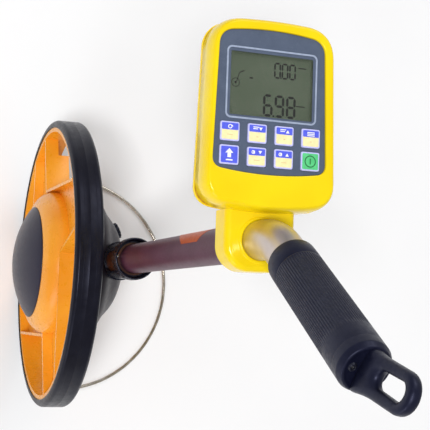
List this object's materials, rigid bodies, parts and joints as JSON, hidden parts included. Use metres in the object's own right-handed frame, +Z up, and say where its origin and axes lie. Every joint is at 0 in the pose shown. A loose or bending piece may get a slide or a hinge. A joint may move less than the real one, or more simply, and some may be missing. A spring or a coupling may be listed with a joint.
{
  "type": "digital measuring wheel",
  "caption": "Walking distance wheel with a tyred spoked wheel, wire stand, height-adjustable tube, keypad display head and ribbed grip with a hanging eyelet.",
  "frame": {"origin": "on the ground, under the middle of the whole object's outline", "axes": "+X forward, the way it is walked; +Y along the axle towards the hub cap; +Z up along the tube"},
  "size_m": [0.3272, 0.226, 0.8525],
  "materials": {
    "tyre_rubber": "satin black rubber",
    "wheel_plastic": "glossy orange moulding",
    "cap_plastic": "dark plum, semi-gloss",
    "housing_plastic": "dark plum, satin",
    "bearing_steel": "ground",
    "axle_steel": "turned and zinc plated",
    "magnet_black": "bonded magnet",
    "board_green": "solder mask",
    "component_black": "moulded",
    "black_plastic": "black moulding",
    "liner_nylon": "brown nylon",
    "stand_steel": "bright drawn wire",
    "tube_paint": "plum brown, satin",
    "label_vinyl": "orange film",
    "head_plastic": "glossy yellow moulding",
    "handle_metal": "polished",
    "grip_rubber": "ribbed soft rubber",
    "gasket_rubber": "soft",
    "panel_film": "printed slate film",
    "bezel_print": "light grey print",
    "lens_clear": "clear",
    "lcd_film": "grey-green display",
    "key_cream": "cream and blue key",
    "key_blue": "blue key",
    "key_green": "green key",
    "membrane_rubber": "silicone",
    "cell_wrap": "printed can",
    "spring_steel": "plated"
  },
  "bodies": {
    "chassis": {"axle": "axle_steel", "bearing_spacer": "axle_steel", "axle_washer": "axle_steel", "axle_nut": "axle_steel", "bearing_inner_races": "bearing_steel", "hub_housing": "housing_plastic", "housing_cover": "housing_plastic", "housing_screws": "axle_steel", "sensor_board": "board_green", "tube_socket": "black_plastic", "tube_liner": "liner_nylon", "clamp_collet": "black_plastic", "stand_washer": "black_plastic", "stand_retainer": "spring_steel"},
    "wheel": {"tyre": "tyre_rubber", "wheel_centre": "wheel_plastic", "hub_cap": "cap_plastic", "bearing_outer_races": "bearing_steel", "bearing_balls": "bearing_steel", "magnet_ring": "magnet_black"},
    "stand": {"stand_wire": "stand_steel", "stand_ring": "black_plastic"},
    "port_cap": {"port_cap": "black_plastic"},
    "clamp": {"clamp_ring": "black_plastic"},
    "mast": {"tube": "tube_paint", "tube_foot": "black_plastic", "tube_label": "label_vinyl", "neck": "head_plastic", "handle_tube": "handle_metal", "grip": "grip_rubber", "end_cap": "black_plastic", "end_cap_screw": "axle_steel", "head_front_shell": "head_plastic", "head_rear_shell": "head_plastic", "shell_gasket": "gasket_rubber", "head_screws": "axle_steel", "batteries": "cell_wrap", "battery_holder": "component_black", "battery_contacts": "spring_steel", "main_board": "board_green", "board_components": "component_black", "lcd_module": "lcd_film", "display_lens": "lens_clear", "display_bezel": "bezel_print", "face_panel": "panel_film", "keypad_membrane": "membrane_rubber"},
    "battery_door": {"battery_door": "head_plastic"},
    "key_mode": {"key_mode": "key_cream"},
    "key_down": {"key_down": "key_cream"},
    "key_up": {"key_up": "key_cream"},
    "key_info": {"key_info": "key_cream"},
    "key_shift": {"key_shift": "key_blue"},
    "key_store": {"key_store": "key_cream"},
    "key_recall": {"key_recall": "key_cream"},
    "key_power": {"key_power": "key_green"}
  },
  "joints": [
    {"name": "wheel_spin", "type": "hinge", "parent": "chassis", "child": "wheel", "pos_m": [-0.00443, 0.065, 0.15915], "axis": [0, 1, 0], "continuous": true},
    {"name": "stand_fold", "type": "hinge", "parent": "chassis", "child": "stand", "pos_m": [-0.00443, 0.065, 0.15915], "axis": [0, 1, 0], "range_deg": [0, 120]},
    {"name": "port_cap_turn", "type": "hinge", "parent": "chassis", "child": "port_cap", "pos_m": [0.03377, 0.0024, 0.16115], "axis": [0.4149, -0.9099, 0], "range_deg": [0, 270]},
    {"name": "clamp_turn", "type": "hinge", "parent": "chassis", "child": "clamp", "pos_m": [-0.00193, 0.0115, 0.28615], "axis": [0, 0, 1], "range_deg": [0, 90]},
    {"name": "tube_slide", "type": "slide", "parent": "chassis", "child": "mast", "axis": [0, 0, 1], "range_m": [0, 0.06]},
    {"name": "battery_door_slide", "type": "slide", "parent": "mast", "child": "battery_door", "axis": [1, 0, 0], "range_m": [0, 0.02]},
    {"name": "key_mode_press", "type": "slide", "parent": "mast", "child": "key_mode", "axis": [0, 0, -1], "range_m": [0, 0.0008], "stiffness_N_per_m": 900},
    {"name": "key_down_press", "type": "slide", "parent": "mast", "child": "key_down", "axis": [0, 0, -1], "range_m": [0, 0.0008], "stiffness_N_per_m": 900},
    {"name": "key_up_press", "type": "slide", "parent": "mast", "child": "key_up", "axis": [0, 0, -1], "range_m": [0, 0.0008], "stiffness_N_per_m": 900},
    {"name": "key_info_press", "type": "slide", "parent": "mast", "child": "key_info", "axis": [0, 0, -1], "range_m": [0, 0.0008], "stiffness_N_per_m": 900},
    {"name": "key_shift_press", "type": "slide", "parent": "mast", "child": "key_shift", "axis": [0, 0, -1], "range_m": [0, 0.0008], "stiffness_N_per_m": 900},
    {"name": "key_store_press", "type": "slide", "parent": "mast", "child": "key_store", "axis": [0, 0, -1], "range_m": [0, 0.0008], "stiffness_N_per_m": 900},
    {"name": "key_recall_press", "type": "slide", "parent": "mast", "child": "key_recall", "axis": [0, 0, -1], "range_m": [0, 0.0008], "stiffness_N_per_m": 900},
    {"name": "key_power_press", "type": "slide", "parent": "mast", "child": "key_power", "axis": [0, 0, -1], "range_m": [0, 0.0008], "stiffness_N_per_m": 900}
  ]
}
